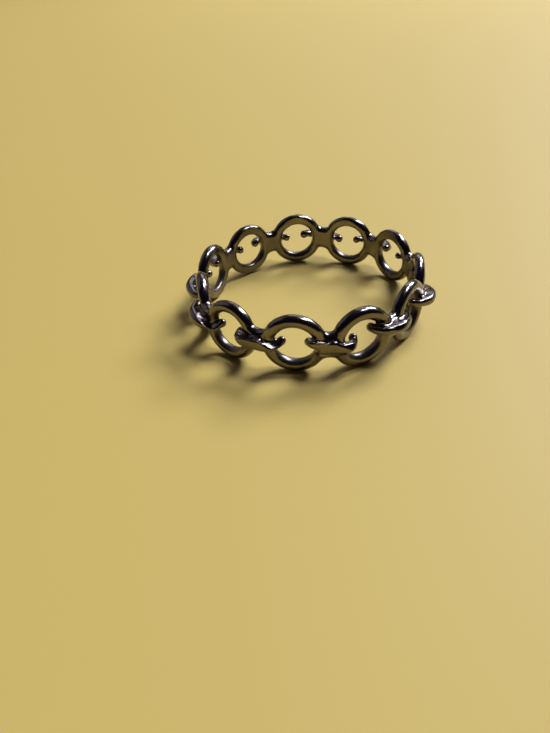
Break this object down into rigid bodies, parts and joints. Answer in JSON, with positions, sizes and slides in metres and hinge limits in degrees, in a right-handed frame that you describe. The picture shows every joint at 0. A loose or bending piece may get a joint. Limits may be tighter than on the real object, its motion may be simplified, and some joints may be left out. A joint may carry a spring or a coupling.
{
  "type": "chain link ring",
  "caption": "Polished silver finger ring, cast as a band of upright round links with half-hoop links hooked across their joins.",
  "frame": {"origin": "on the axis of the finger hole, halfway up the band", "axes": "+Z along the finger hole; the ring lies on its side with Z upright, and -Y is the side nearest the viewer in the picture"},
  "size_m": [0.0206, 0.0208, 0.0048],
  "materials": {
    "cast_band": "mirror-polished cast sterling silver, darkened in the recesses"
  },
  "bodies": {
    "root": {"cast_band": "cast_band"}
  },
  "joints": []
}
